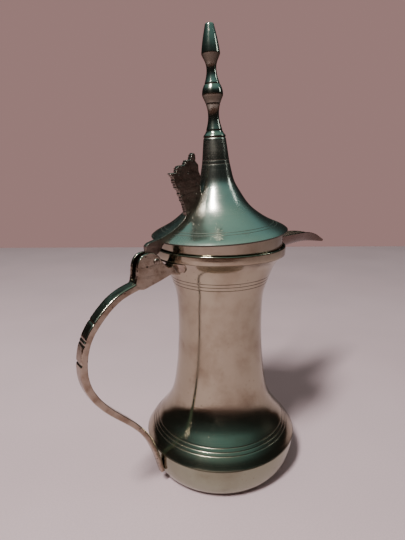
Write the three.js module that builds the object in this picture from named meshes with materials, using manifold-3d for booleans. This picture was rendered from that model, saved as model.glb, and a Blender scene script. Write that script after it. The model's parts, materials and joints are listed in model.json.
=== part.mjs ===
// Dallah coffee pot: a waisted pot with a soldered base pan, a beak spout, a cast
// strap handle with a forked top, and a trumpet lid with a thumb lever and a turned
// finial, hinged on one pin. Millimetres, +Z up, origin on the table under the middle
// of the base. The handle is towards -X and the beak towards +X.
import * as THREE from "three";
import { mergeVertices } from "three/addons/utils/BufferGeometryUtils.js";
import Module from "manifold-3d";

const wasm = await Module();
wasm.setup();

// ---- driving dimensions -------------------------------------------------------

const seatGap = 0.3; // between pieces that are soldered, screwed or pinned together
const around = 40; // facets of a large turned piece
const aroundSmall = 20; // facets of a small turned piece

const baseRadius = 41; // flat underside of the base pan
const seamRadius = 51.2; // widest part, where the pan meets the body
const seamHeight = 22.4;
const waistRadius = 27.7;
const waistHeight = 98;
const mouthRadius = 40.4; // bore of the rim band
const rimBase = 146;
const rimTop = 151.6;
const potWall = 1.2;
const rimWall = 1.2;

const pinStandOff = 9.2; // from the rim band's outer face out to the hinge pin
const pinDrop = 3.4; // how far the pin lies below the rim
const pinX = -(mouthRadius + rimWall + pinStandOff);
const pinZ = rimTop - pinDrop;
const pinRadius = 1.3;
const pinHeadRadius = 1.9;
const pinHeadThickness = 0.7;
const runningGap = 0.3; // between the pin, the lever's knuckle and the fork's ears

const handleReach = 97.5; // middle of the strap at its widest, from the pot's axis
const handleWidest = 96; // height of that point
const handleFoot = 8.6; // height of the strap's lower end
const handleWidth = 7.8; // across the fork
const gripWidth = 6.4;
const footWidth = 3.6;
const gripThickness = 4;
const footThickness = 2.4;
const flangeWidth = 25; // the wings that clasp the neck
const flangeHeight = 6;
const flangeThickness = 1.6;
const slotWidth = 4.2; // between the fork's ears

const lidAjar = 3.4; // degrees that the lid stands open at rest
const brimRadius = mouthRadius + 2.5;
const brimHeight = rimTop + 5.6;
const crownRadius = 6.65;
const lidHeight = 56.2; // from the brim's edge up to the flat crown
const crownHeight = brimHeight + lidHeight;
const lidWall = 1;
const skirtClearance = 1; // inside the mouth, at the skirt's lower edge
const skirtRadius = mouthRadius - skirtClearance;
const skirtSpread = 0.8; // how much wider its upper edge is
const skirtBottom = rimTop - 4.1;
const skirtWall = 1;

const leverThickness = 3.2;
const leverHub = 3.7; // radius of the lever's knuckle round the pin

const beakReach = 114; // tip of the beak, from the pot's axis
const beakWidth = 19; // across the root
const beakTop = 151.4;
const beakFloor = 139.8; // lowest point of the keel, at the root
const beakWall = 1.1;

const studRadius = 1.2;
const nutRadius = 3.2;
const nutThickness = 2.4;
const washerRadius = 4.4;
const washerThickness = 0.8;

// ---- helpers ------------------------------------------------------------------

const metal = (color, roughness) =>
  new THREE.MeshStandardMaterial({ color, roughness, metalness: 1 });

function part(name, geometry, color = 0x9a968a, roughness = 0.3) {
  const mesh = new THREE.Mesh(geometry, metal(color, roughness));
  mesh.name = name;
  return mesh;
}

// A profile of [radius, height] points turned about the Z axis.
function turned(profile, facets = around) {
  const points = profile.map(([r, z]) => new THREE.Vector2(Math.max(r, 0), z));
  const lathe = new THREE.LatheGeometry(points, facets);
  return lathe.rotateX(Math.PI / 2);
}

// A ring or disc from the axis side radius inner to outer, between two heights.
const ring = (inner, outer, low, high, facets = aroundSmall) =>
  turned([[inner, low], [outer, low], [outer, high], [inner, high], [inner, low]], facets);

// An outline of [x, z] points given a thickness along Y, centred on the XZ plane.
function plate(outline, thickness) {
  const shape = new THREE.Shape(outline.map(([x, z]) => new THREE.Vector2(x, z)));
  const slab = new THREE.ExtrudeGeometry(shape, { depth: thickness, bevelEnabled: false });
  return slab.translate(0, 0, -thickness / 2).rotateX(Math.PI / 2);
}

// An outline of [x, y] points raised from one height to another.
function prism(outline, low, high) {
  const shape = new THREE.Shape(outline.map(([x, y]) => new THREE.Vector2(x, y)));
  const block = new THREE.ExtrudeGeometry(shape, { depth: high - low, bevelEnabled: false });
  return block.translate(0, 0, low);
}

// An outline of [y, z] points drawn out along X.
function rail(outline, from, to) {
  const shape = new THREE.Shape(outline.map(([y, z]) => new THREE.Vector2(y, z)));
  const bar = new THREE.ExtrudeGeometry(shape, { depth: to - from, bevelEnabled: false });
  return bar.rotateX(Math.PI / 2).rotateZ(Math.PI / 2).translate(from, 0, 0);
}

function solid(geometry) {
  const bare = geometry.clone();
  bare.deleteAttribute("normal");
  bare.deleteAttribute("uv");
  const merged = mergeVertices(bare, 1e-4);
  const mesh = new wasm.Mesh({
    numProp: 3,
    vertProperties: new Float32Array(merged.attributes.position.array),
    triVerts: new Uint32Array(merged.index.array),
  });
  mesh.merge();
  return new wasm.Manifold(mesh);
}

function geometryOf(body) {
  const mesh = body.getMesh();
  const geometry = new THREE.BufferGeometry();
  geometry.setAttribute("position", new THREE.BufferAttribute(mesh.vertProperties, 3));
  geometry.setIndex(new THREE.BufferAttribute(mesh.triVerts, 1));
  return geometry;
}

const between = (low, high, share) => low + (high - low) * share;

// Samples of a smooth curve through [radius, height] points.
function smooth(points, count) {
  const curve = new THREE.SplineCurve(points.map(([r, z]) => new THREE.Vector2(r, z)));
  return curve.getPoints(count).map((p) => [p.x, p.y]);
}

// The same outline moved sideways by a distance: positive is to the right of travel.
function beside(outline, distance) {
  const last = outline.length - 1;
  return outline.map(([x, z], i) => {
    const [ax, az] = outline[Math.max(i - 1, 0)];
    const [bx, bz] = outline[Math.min(i + 1, last)];
    const length = Math.hypot(bx - ax, bz - az);
    const offset = typeof distance === "function" ? distance(i / last) : distance;
    return [x + (offset * (bz - az)) / length, z - (offset * (bx - ax)) / length];
  });
}

// ---- the pot's outlines -------------------------------------------------------

// From the seam up over the shoulder to the waist: shares of the two spans.
const shoulderShares = [
  [1, 0], [0.974, 0.029], [0.905, 0.061], [0.728, 0.116], [0.6, 0.167], [0.485, 0.213],
  [0.387, 0.259], [0.294, 0.312], [0.213, 0.378], [0.145, 0.471], [0.083, 0.603], [0.032, 0.762], [0, 1],
];
const flareShares = [[0.012, 0.292], [0.078, 0.479], [0.24, 0.635], [0.45, 0.792], [0.705, 0.917], [1, 1]];
const neckTopRadius = mouthRadius + 0.2;

const bodyOutline = smooth(
  [
    ...shoulderShares.map(([r, z]) => [
      between(waistRadius, seamRadius, r),
      between(seamHeight, waistHeight, z),
    ]),
    ...flareShares.map(([r, z]) => [
      between(waistRadius, neckTopRadius, r),
      between(waistHeight, rimBase, z),
    ]),
  ],
  24
);

const panTop = seamHeight - seatGap;
const panRadius = seamRadius - 0.4;
const panOutline = new THREE.CubicBezierCurve(
  new THREE.Vector2(baseRadius, 0),
  new THREE.Vector2(panRadius - 2.4, 0),
  new THREE.Vector2(panRadius + 0.1, between(0, panTop, 0.55)),
  new THREE.Vector2(panRadius, panTop)
).getPoints(9).map((p) => [p.x, p.y]);

// An outline doubled back on itself one wall further in, ends kept level.
function walled(outline, wall) {
  const inner = beside(outline, -wall);
  inner[0][1] = outline[0][1];
  inner[inner.length - 1][1] = outline[outline.length - 1][1];
  return [...outline, ...inner.reverse(), outline[0]];
}

// The pot filled in and grown by the seat gap, for trimming what is soldered to it.
function potSolid(growth) {
  const side = beside([...panOutline, ...bodyOutline], growth);
  const rim = mouthRadius + rimWall + growth;
  return solid(
    turned([[0, -1], [side[0][0], -1], ...side, [rim, rimBase], [rim, rimTop + 1], [0, rimTop + 1]])
  );
}
const grownPot = potSolid(seatGap);

// ---- beak ---------------------------------------------------------------------

// Side view of the beak, from the root out: upper edge and keel as shares of reach.
const beakSpan = (share) => between(mouthRadius, beakReach, share);
const beakRise = beakTop - beakFloor;
function beakSide(wall) {
  const edge = [[0.38, 0], [0.57, 0.06], [0.72, 0.22], [0.86, 0.5], [1, 0.86]].map(
    ([x, drop]) => [beakSpan(x), beakTop - drop * beakRise]
  );
  const keel = [[0.9, 0.1], [0.62, 0.3], [0.42, 0.25], [0.22, 0.1], [-0.1, -0.08]].map(
    ([x, rise]) => [beakSpan(x), beakFloor + rise * beakRise + wall]
  );
  return [[waistRadius, beakTop + wall], [beakSpan(0.38), beakTop + wall], ...edge, ...keel,
    [waistRadius, beakFloor + wall]];
}

// Plan of the beak: a pointed leaf.
function beakPlan(wall) {
  const half = beakWidth / 2 - wall;
  const tip = beakReach - wall * 4;
  const stations = [[0.35, 0.86], [0.6, 0.6], [0.82, 0.3], [1, 0.05]];
  const side = stations.map(([x, w]) => [between(mouthRadius, tip, x), half * w]);
  return [
    [waistRadius, -half],
    [mouthRadius, -half],
    ...side.map(([x, y]) => [x, -y]),
    ...side.reverse(),
    [mouthRadius, half],
    [waistRadius, half],
  ];
}

// Cross-section of the beak: a V with slightly bowed sides.
function beakSection(wall) {
  const half = beakWidth / 2 - wall;
  const depth = beakRise - wall + 3;
  const points = [];
  for (let i = 0; i <= 12; i += 1) {
    const share = i / 6 - 1;
    points.push([half * share, beakTop - depth * (1 - Math.abs(share) ** 1.3)]);
  }
  return [...points, [half, beakTop + 5], [-half, beakTop + 5]];
}

const beakForm = (wall) =>
  solid(plate(beakSide(wall), beakWidth + 2))
    .intersect(solid(prism(beakPlan(wall), 0, 200)))
    .intersect(solid(rail(beakSection(wall), 0, 150)));

const beakChannel = beakForm(beakWall);
const mouthCut = beakForm(beakWall + seatGap);

// ---- handle -------------------------------------------------------------------

const pinReach = -pinX;
const upperShares = [[0.28, 0.76], [0.529, 0.68], [0.751, 0.521], [0.907, 0.343], [0.989, 0.115]];
const lowerShares = [
  [0.987, 0.927], [0.896, 0.799], [0.716, 0.667], [0.457, 0.523],
  [0.227, 0.363], [0.097, 0.205], [0.019, 0.062], [-0.009, 0],
];
const strapLine = smooth(
  [
    ...upperShares.map(([x, z]) => [
      -between(pinReach, handleReach, x),
      between(handleWidest, pinZ, z),
    ]),
    ...lowerShares.map(([x, z]) => [
      -between(seamRadius, handleReach, x),
      between(handleFoot, handleWidest, z),
    ]),
  ],
  40
);
const strapHalf = (share) => between(gripThickness, footThickness, Math.max(0, share * 1.6 - 0.6)) / 2;
const strapSide = [
  ...beside(strapLine, (share) => strapHalf(share)),
  ...beside(strapLine, (share) => -strapHalf(share)).reverse(),
];

// Side view of the fork and of the saddle that reaches the neck, about the pin.
const forkSide = [
  [-15.6, -13.6], [-13.4, -8.4], [-12.5, -1.4], [-10.6, 2.9], [-7.3, 5], [-3.8, 5.4], [-0.6, 4.4],
  [2, 2.2], [3.7, -0.4], [7.6, -4.6], [20, -4.6], [20, -10.4], [9.4, -9.2], [1, -12], [-9, -14.8],
].map(([x, z]) => [pinX + x, pinZ + z]);

// Front view of the handle: full width at the fork, narrowing down to the foot.
const handleStations = [[0, footWidth / 2], [handleWidest, gripWidth / 2], [pinZ - 15, handleWidth / 2],
  [pinZ + 10, handleWidth / 2]];
const handleFront = [
  ...handleStations.map(([z, half]) => [half, z]),
  ...handleStations.map(([z, half]) => [-half, z]).reverse(),
];

// The open slot for the lever's knuckle, seen from the side.
const slotSide = [[-20, -9], [-6, -9], [0, -5.6], [8, -4.7], [12, -4.7], [12, 12], [-20, 12]].map(
  ([x, z]) => [pinX + x, pinZ + z]
);

// The wings: a strip of the flare's own shape, just under the rim band.
function flange() {
  const low = rimBase - seatGap - flangeHeight;
  const strip = bodyOutline.filter(([, z]) => z > low - 6);
  const sheet = turned([
    ...beside(strip, flangeThickness + seatGap),
    [0, rimBase],
    [0, strip[0][1]],
    beside(strip, flangeThickness + seatGap)[0],
  ]);
  const half = flangeWidth / 2;
  const wing = prism([[-seamRadius, -half], [-12, -half], [-12, half], [-seamRadius, half]], low,
    rimBase - seatGap);
  return solid(sheet).intersect(solid(wing));
}

function handle() {
  const front = solid(rail(handleFront, -150, 0));
  const strap = solid(plate(strapSide, handleWidth + 2)).intersect(front);
  const fork = solid(plate(forkSide, handleWidth));
  const bore = new THREE.CylinderGeometry(
    pinRadius + seatGap, pinRadius + seatGap, handleWidth + 4, aroundSmall
  ).translate(pinX, 0, pinZ);
  return fork
    .subtract(solid(plate(slotSide, slotWidth)))
    .add(strap)
    .add(flange())
    .subtract(solid(bore))
    .subtract(grownPot);
}

// ---- lid ----------------------------------------------------------------------

// From the brim's edge up to the crown: shares of the two spans.
const lidShares = [
  [0.984, 0.009], [0.853, 0.057], [0.706, 0.103], [0.54, 0.173], [0.361, 0.276], [0.203, 0.432],
  [0.116, 0.543], [0.075, 0.651], [0.045, 0.756], [0.026, 0.861], [0, 1],
];
const lidOutline = smooth(
  [
    [brimRadius, brimHeight],
    ...lidShares.map(([r, z]) => [
      between(crownRadius, brimRadius, r),
      between(brimHeight, crownHeight, z),
    ]),
  ],
  20
);

function lidShell() {
  const inner = beside(lidOutline, -lidWall);
  inner[0] = [brimRadius - 1.4, brimHeight - 0.9];
  inner.pop();
  const bore = studRadius + seatGap;
  const innerTop = inner[inner.length - 1];
  const ceiling = crownHeight - lidWall;
  return turned([
    [brimRadius - 0.3, brimHeight - 0.7],
    ...lidOutline,
    [bore, crownHeight],
    [bore, ceiling],
    [innerTop[0] - 0.1, ceiling],
    ...inner.reverse(),
    [brimRadius - 0.3, brimHeight - 0.7],
  ]);
}

const skirtTop = brimHeight + 0.1;
const lidSkirt = turned([
  [skirtRadius - skirtWall, skirtBottom],
  [skirtRadius, skirtBottom],
  [skirtRadius + skirtSpread, skirtTop],
  [skirtRadius + skirtSpread - skirtWall, skirtTop],
  [skirtRadius - skirtWall, skirtBottom],
]);

// The lever's outline about the pin: up from the knuckle, over the brim, along the
// lid's flank and up the toothed outer edge of the leaf, then down its inner edge.
const leverOutline = [
  [-3.7, 0], [-4.3, 5.2], [-4.4, 9.2], [-2.5, 10.5], [0.5, 11.2], [6.4, 12.2], [13.6, 14.7], [18.2, 16.9],
  [22.2, 19.6], [24.6, 22.2], [24.4, 24.8], [23.7, 28], [23.3, 29.8], [22.2, 31], [22.1, 33],
  [20.9, 34.4], [20.9, 36.6], [18.7, 38.8], [18.6, 40.4], [17.6, 41.8], [17.5, 44.4], [15.2, 46.9],
  [19.7, 46.9], [20.2, 49.4], [21.8, 50.7], [25.8, 50.8], [27.2, 53.3], [30.3, 53.4], [31.5, 56.4],
  [32.9, 57.4], [34.1, 56], [33.9, 52.6], [35.9, 50.4], [35.9, 46.8], [37.1, 43.8], [36.5, 38.8],
  [36.9, 32.3], [37.3, 26.8], [31.3, 16.5], [21.3, 9.4], [10.5, 8.5], [7.2, 8.2], [3.4, 4],
];

function thumbLever(grownLid) {
  const outline = leverOutline.map(([x, z]) => [pinX + x, pinZ + z]);
  const hub = new THREE.CylinderGeometry(leverHub, leverHub, leverThickness, aroundSmall)
    .translate(pinX, 0, pinZ);
  const bore = new THREE.CylinderGeometry(
    pinRadius + runningGap, pinRadius + runningGap, leverThickness + 4, aroundSmall
  ).translate(pinX, 0, pinZ);
  return solid(plate(outline, leverThickness)).add(solid(hub)).subtract(solid(bore)).subtract(grownLid);
}

// The lid filled in and grown by the seat gap, for trimming the lever.
function lidSolid(growth) {
  const top = beside(lidOutline, growth);
  const edge = brimRadius + growth;
  const under = brimHeight - 0.9 - growth;
  const skirt = skirtRadius + skirtSpread + growth;
  return solid(
    turned([[0, skirtBottom], [skirt, skirtBottom], [skirt, under], [edge, under], [edge, brimHeight],
      ...top, [0, crownHeight + growth]])
  );
}

// ---- finial -------------------------------------------------------------------

// Heights of the finial's joints above the crown, and radii along each turned piece.
const collarHeight = 3.6;
const lowerNeckHeight = 14.6;
const ballHeight = 10.2;
const tipHeight = 31.2;

function bead(outline, low, height, bore) {
  const points = outline.map(([r, share]) => [r, between(low, low + height, share)]);
  const top = points[points.length - 1][1];
  return turned([[bore, points[0][1]], ...points, [bore, top], [bore, points[0][1]]], aroundSmall);
}

const finialBore = studRadius + seatGap;
const collarBase = crownHeight + seatGap;
const neckBase = collarBase + collarHeight + seatGap;
const ballBase = neckBase + lowerNeckHeight + seatGap;
const tipBase = ballBase + ballHeight + seatGap;
const tipTop = tipBase + tipHeight;

const collarOutline = [[crownRadius, 0], [crownRadius, 0.25], [5.6, 0.6], [5, 1]];
const lowerNeckOutline = [[4.9, 0], [3.9, 0.24], [3.3, 0.48], [3.25, 0.64], [3.6, 0.85], [4.2, 1]];
const ballOutline = [[4.3, 0], [5.3, 0.24], [6.05, 0.42], [6.1, 0.56], [5.6, 0.8], [4.7, 1]];
const tipOutline = [
  [4.5, 0], [3.7, 0.08], [3.1, 0.16], [2.85, 0.25], [3.1, 0.33], [3.9, 0.4], [5, 0.47], [5.35, 0.51],
  [5.1, 0.58], [3.7, 0.82], [2.4, 1],
];

function finialTip() {
  const points = tipOutline.map(([r, share]) => [r, between(tipBase, tipTop, share)]);
  const socketTop = between(tipBase, tipTop, 0.4);
  return turned(
    [[finialBore, tipBase], ...points, [0, tipTop], [0, socketTop], [finialBore, socketTop],
      [finialBore, tipBase]],
    aroundSmall
  );
}

const washerTop = crownHeight - lidWall - seatGap;
const nutTop = washerTop - washerThickness - seatGap;
const studLow = nutTop - nutThickness - 1.5;
const studHigh = between(tipBase, tipTop, 0.4) - seatGap;

// ---- assembly -----------------------------------------------------------------

const dallah = new THREE.Group();

const wall = solid(turned(walled(bodyOutline, potWall))).subtract(mouthCut);
dallah.add(part("body_shell", geometryOf(wall)));

const panInner = beside(panOutline, -potWall);
panInner[0][1] = potWall;
panInner[panInner.length - 1][1] = panTop;
dallah.add(part("base_pan", turned([[0, 0], ...panOutline, ...panInner.reverse(), [0, potWall]])));

const bandBase = rimBase + seatGap;
const band = turned([
  [mouthRadius, bandBase],
  [mouthRadius + rimWall - 0.4, bandBase],
  [mouthRadius + rimWall, rimTop - 0.6],
  [mouthRadius + rimWall - 0.3, rimTop],
  [mouthRadius, rimTop],
  [mouthRadius, bandBase],
]);
dallah.add(part("rim_band", geometryOf(solid(band).subtract(mouthCut))));

const beak = beakForm(0).subtract(beakChannel).subtract(grownPot);
dallah.add(part("spout_beak", geometryOf(beak)));

dallah.add(part("handle", geometryOf(handle()), 0x7d776c, 0.35));

const pinReachOut = handleWidth / 2 + seatGap;
const pinShape = turned(
  [
    [0, -pinReachOut - pinHeadThickness],
    [pinHeadRadius, -pinReachOut - pinHeadThickness / 2],
    [pinHeadRadius, -pinReachOut],
    [pinRadius, -pinReachOut],
    [pinRadius, pinReachOut],
    [pinHeadRadius, pinReachOut],
    [pinHeadRadius, pinReachOut + pinHeadThickness / 2],
    [0, pinReachOut + pinHeadThickness],
  ],
  aroundSmall
).rotateX(Math.PI / 2).translate(pinX, 0, pinZ);
dallah.add(part("hinge_pin", pinShape, 0x5b554c, 0.4));

const lid = new THREE.Group();
lid.add(part("lid_shell", lidShell()));
lid.add(part("lid_skirt", lidSkirt));
lid.add(part("thumb_lever", geometryOf(thumbLever(lidSolid(seatGap))), 0x4a453f, 0.4));
lid.add(part("finial_collar", bead(collarOutline, collarBase, collarHeight, finialBore)));
lid.add(part("finial_neck", bead(lowerNeckOutline, neckBase, lowerNeckHeight, finialBore)));
lid.add(part("finial_ball", bead(ballOutline, ballBase, ballHeight, finialBore)));
lid.add(part("finial_tip", finialTip()));
lid.add(part("finial_stud", turned([[0, studLow], [studRadius, studLow], [studRadius, studHigh],
  [0, studHigh]], aroundSmall), 0x6b665c, 0.5));
lid.add(part("finial_washer", ring(finialBore, washerRadius, washerTop - washerThickness, washerTop),
  0x6b665c, 0.5));
const nut = solid(ring(0, nutRadius, nutTop - nutThickness, nutTop, 6))
  .subtract(solid(ring(0, finialBore, nutTop - nutThickness - 1, nutTop + 1)));
lid.add(part("finial_nut", geometryOf(nut), 0x6b665c, 0.5));

// The lid stands a little open: its pieces turn about the hinge pin.
const hinge = new THREE.Group();
hinge.position.set(pinX, 0, pinZ);
hinge.rotation.y = THREE.MathUtils.degToRad(-lidAjar);
lid.position.set(-pinX, 0, -pinZ);
hinge.add(lid);
dallah.add(hinge);

export default dallah;
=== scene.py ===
import json
import math
import bpy
import numpy as np
from mathutils import Matrix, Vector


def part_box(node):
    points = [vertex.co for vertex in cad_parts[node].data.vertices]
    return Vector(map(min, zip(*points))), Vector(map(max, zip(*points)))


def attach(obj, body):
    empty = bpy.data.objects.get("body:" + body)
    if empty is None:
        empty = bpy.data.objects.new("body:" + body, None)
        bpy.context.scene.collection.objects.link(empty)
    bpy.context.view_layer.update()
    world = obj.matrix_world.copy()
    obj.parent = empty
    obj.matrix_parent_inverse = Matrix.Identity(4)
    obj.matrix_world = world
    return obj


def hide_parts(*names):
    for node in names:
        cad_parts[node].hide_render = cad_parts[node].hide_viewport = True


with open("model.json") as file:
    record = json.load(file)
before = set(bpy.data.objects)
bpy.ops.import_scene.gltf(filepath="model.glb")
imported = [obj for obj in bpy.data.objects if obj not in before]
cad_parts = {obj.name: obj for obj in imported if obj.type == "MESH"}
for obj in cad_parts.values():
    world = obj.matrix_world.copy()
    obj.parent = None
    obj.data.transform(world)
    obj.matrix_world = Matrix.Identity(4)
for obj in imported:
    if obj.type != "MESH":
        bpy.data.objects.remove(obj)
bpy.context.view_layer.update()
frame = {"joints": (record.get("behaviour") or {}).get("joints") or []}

# A dallah coffee pot in nickelled brass: a spun body and base pan, a cast strap handle,
# an open beak, and a hinged trumpet lid with a thumb lever and a turned finial.
# Shapes are worked out in millimetres with numpy and go into the meshes in metres.

mm = 0.001


def addObject(name, data):
    obj = bpy.data.objects.new(name, data)
    bpy.context.scene.collection.objects.link(obj)
    return obj


def extent(node):  # lowest and highest corner of a frame node, in mm
    low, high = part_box(node)
    return np.array(low) / mm, np.array(high) / mm


hinge = frame["joints"][0]
pinAt = np.array(hinge["pos_m"]) / mm
ajar = -math.radians(hinge["range_deg"][0])  # how far the lid stands open at rest
shellLow, shellHigh = extent("body_shell")
seamRadius, rimBase = shellHigh[1:]
seamHeight = shellLow[2]
rimRadius, rimTop = extent("rim_band")[1][1:]
beakReach = extent("spout_beak")[1][0]
beakTop = rimTop - 0.2


def arcLength(curve):
    return np.concatenate([[0], np.cumsum(np.linalg.norm(np.diff(curve, axis=0), axis=1))])


# natural cubic spline through the points, by chord length, sampled at even steps
def cubicThrough(points, count):
    p = np.array(points, float)
    t = arcLength(p)
    h = np.diff(t)
    n = len(p)
    a = np.eye(n)
    rhs = np.zeros_like(p)
    for i in range(1, n - 1):
        a[i, i - 1:i + 2] = [h[i - 1], 2 * (h[i - 1] + h[i]), h[i]]
        rhs[i] = 6 * ((p[i + 1] - p[i]) / h[i] - (p[i] - p[i - 1]) / h[i - 1])
    m = np.linalg.solve(a, rhs)
    s = np.linspace(0, t[-1], count)
    k = np.clip(np.searchsorted(t, s, side="right") - 1, 0, n - 2)
    u = (s - t[k])[:, None]
    w = (t[k + 1] - s)[:, None]
    hk = h[k][:, None]
    bend = (m[k + 1] * u**3 + m[k] * w**3) / (6 * hk)
    return bend + (p[k + 1] / hk - m[k + 1] * hk / 6) * u + (p[k] / hk - m[k] * hk / 6) * w


# the curve moved to the right of its own direction by the distance
def sideways(curve, distance):
    d = np.gradient(curve, axis=0)
    d /= np.linalg.norm(d, axis=1)[:, None]
    return curve + np.stack([d[:, 1], -d[:, 0]], 1) * np.reshape(distance, (-1, 1))


def placed(shares, x, z):  # points at shares of the way between two places in each direction
    return [(x[0] + (x[1] - x[0]) * r, z[0] + (z[1] - z[0]) * h) for r, h in shares]


# sum of bell curves of that width at the places
def bells(at, places, width):
    return sum((np.exp(-((at - place) / width) ** 2) for place in places), np.zeros_like(at))


# samples of a rising outline, close together at the grooves, and how deep each lies in one
def grooved(curve, heights, width, count):
    arc = arcLength(curve)
    marks = np.interp(heights, curve[:, 1], arc)
    near = [mark + width * np.linspace(-2.2, 2.2, 11) for mark in marks]
    stops = np.unique(np.clip(np.concatenate([np.linspace(0, arc[-1], count)] + near), 0, arc[-1]).round(3))
    points = np.stack([np.interp(stops, arc, curve[:, k]) for k in (0, 1)], 1)
    return points, bells(stops, marks, width)


# quads of a grid of vertices, joined round where it closes
def gridFaces(rows, cols, closeRows, closeCols, start=0):
    index = start + np.arange(rows * cols).reshape(rows, cols)
    if closeRows:
        index = np.concatenate([index, index[:1]], 0)
    if closeCols:
        index = np.concatenate([index, index[:, :1]], 1)
    quads = np.stack([index[:-1, :-1], index[1:, :-1], index[1:, 1:], index[:-1, 1:]], -1)
    return quads.reshape(-1, 4).tolist()


# six times the signed volume inside a closed mesh, by tetrahedra from the origin
def signedVolume(vertices, faces):
    volume = 0.0
    for size in sorted(set(len(f) for f in faces)):
        group = np.array([f for f in faces if len(f) == size])
        a = vertices[group[:, 0]]
        for i in range(1, size - 1):
            b, c = vertices[group[:, i]], vertices[group[:, i + 1]]
            volume += np.einsum("ij,ij->", a, np.cross(b, c))
    return volume


pieces = {}


# an object of the vertices, in mm, with smooth shading split at hard edges
def writeMesh(name, vertices, faces, masks, crease=38):
    if signedVolume(vertices, faces) < 0:
        faces = [f[::-1] for f in faces]
    mesh = bpy.data.meshes.new(name)
    mesh.from_pydata((vertices * mm).tolist(), [], faces)
    mesh.shade_smooth()
    mesh.set_sharp_from_angle(angle=math.radians(crease))
    for mask, values in masks.items():
        layer = mesh.attributes.new(mask, "FLOAT", "POINT")
        layer.data.foreach_set("value", np.asarray(values, np.float32).ravel())
    pieces[name] = addObject(name, mesh)


# lid points turned up about the hinge pin by the angle that the lid stands open
def opened(vertices):
    c, s = math.cos(ajar), math.sin(ajar)
    d = vertices - pinAt
    return pinAt + np.stack([c * d[:, 0] - s * d[:, 2], d[:, 1], s * d[:, 0] + c * d[:, 2]], 1)


def meetsAxis(profile):  # whether both ends lie on the axis
    return profile[0][0] < 1e-6 and profile[-1][0] < 1e-6


def onCircle(r, a, z):  # x = r cos a, y = r sin a
    return np.stack([r * np.cos(a), r * np.sin(a), z + 0 * a], -1)


# a profile of radius and height turned about Z; one whose ends lie on the axis closes there
# in a fan, any other closes on itself
def turnedShell(profile, around, squash=None):
    profile = np.array(profile, float)
    onAxis = meetsAxis(profile)
    body = profile[1:-1] if onAxis else profile
    a = np.linspace(0, 2 * math.pi, around, endpoint=False)
    radius = body[:, :1] * (1 if squash is None else squash(a, body[:, 1:2]))
    vertices = onCircle(radius, a, body[:, 1:2]).reshape(-1, 3)
    faces = gridFaces(len(body), around, not onAxis, True)
    if onAxis:
        ends = len(vertices)
        vertices = np.concatenate([vertices, [[0, 0, profile[0, 1]], [0, 0, profile[-1, 1]]]])
        this = np.arange(around)
        following = np.roll(this, -1)
        top = (len(body) - 1) * around
        faces += np.stack([np.full(around, ends), following, this], 1).tolist()
        faces += np.stack([np.full(around, ends + 1), top + this, top + following], 1).tolist()
    return vertices, faces


# a turned shell as a piece, with a hollow value for each point of its profile: how dark the shade painted
# there is, which also adds tarnish and roughness
def turnedPiece(name, profile, dips, around, onLid=False, crease=38):
    vertices, faces = turnedShell(profile, around)
    hollow = np.repeat(dips[1:-1] if meetsAxis(profile) else dips, around)
    hollow = np.concatenate([hollow, np.zeros(len(vertices) - len(hollow))])
    if onLid:
        vertices = opened(vertices)
    writeMesh(name, vertices, faces, {"hollow": hollow}, crease)


# the pot's own outline comes first, because the wings and the beak follow it

bodyShell = {
    "waistRadius": 27.7, "waistHeight": 98, "mouthInset": 1, "wall": 1.2, "around": 220, "rows": 150,
    "shoulder": [  # shares of the way from the waist to the seam, and from the seam up to the waist
        (1, 0), (0.958, 0.02), (0.9, 0.048), (0.728, 0.116), (0.6, 0.167), (0.485, 0.213),
        (0.387, 0.259), (0.294, 0.312), (0.213, 0.378), (0.145, 0.471), (0.083, 0.603),
        (0.032, 0.762), (0, 1)],
    "flare": [(0.012, 0.292), (0.078, 0.479), (0.24, 0.635), (0.45, 0.792), (0.705, 0.917), (1, 1)],
    "grooves": [29.2, 31.0, 32.9, 128.8, 131, 133.1],
    # the grooves' heights and size, and how dark the shade painted in them is
    "grooveDepth": 0.05, "grooveWidth": 0.26, "grooveShade": 0.9,
    "notchHalf": 8.1, "notchDepth": 13.2, "notchPower": 1.3, "notchStart": 136, "notchFine": 0.27,
}


# curve through the shares, from the seam in to the waist and out to the mouth
def bodyOutline():
    s = bodyShell
    mouth = rimRadius - s["mouthInset"]
    waist, waistHeight = s["waistRadius"], s["waistHeight"]
    low = placed(s["shoulder"], (waist, seamRadius), (seamHeight, waistHeight))
    high = placed(s["flare"], (waist, mouth), (waistHeight, rimBase))
    return cubicThrough(low + high, 1600)


potLine = bodyOutline()
basePan = {"foot": 41, "wall": 1.2, "recess": 0.6, "recessRadius": 36.5, "around": 220}


# Bezier curve from the foot's edge round the corner and up to the seam
def panOutline():
    top = extent("base_pan")[1][2]
    radius = extent("base_pan")[1][1]
    corner = [np.array(p, float) for p in
              ((basePan["foot"], 0), (radius - 2.4, 0), (radius + 0.1, 0.55 * top), (radius, top))]
    t = np.linspace(0, 1, 44)[:, None]
    return corner[0] * (1 - t)**3 + 3 * corner[1] * t * (1 - t)**2 \
        + 3 * corner[2] * t**2 * (1 - t) + corner[3] * t**3


panLine = panOutline()


def potRadius(height):
    return np.interp(height, potLine[:, 1], potLine[:, 0])


def potSide(height):  # the same from the table up to the rim
    low = np.interp(height, panLine[:, 1], panLine[:, 0])
    return np.where(height < seamHeight, low, np.where(height > rimBase, rimRadius, potRadius(height)))


# height of the pouring notch's edge: its depth below the beak's top is 1 - share^p of the whole
def notchEdge(across):
    s = bodyShell
    share = np.abs(across) / s["notchHalf"]
    return beakTop - s["notchDepth"] * (1 - share ** s["notchPower"])


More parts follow.
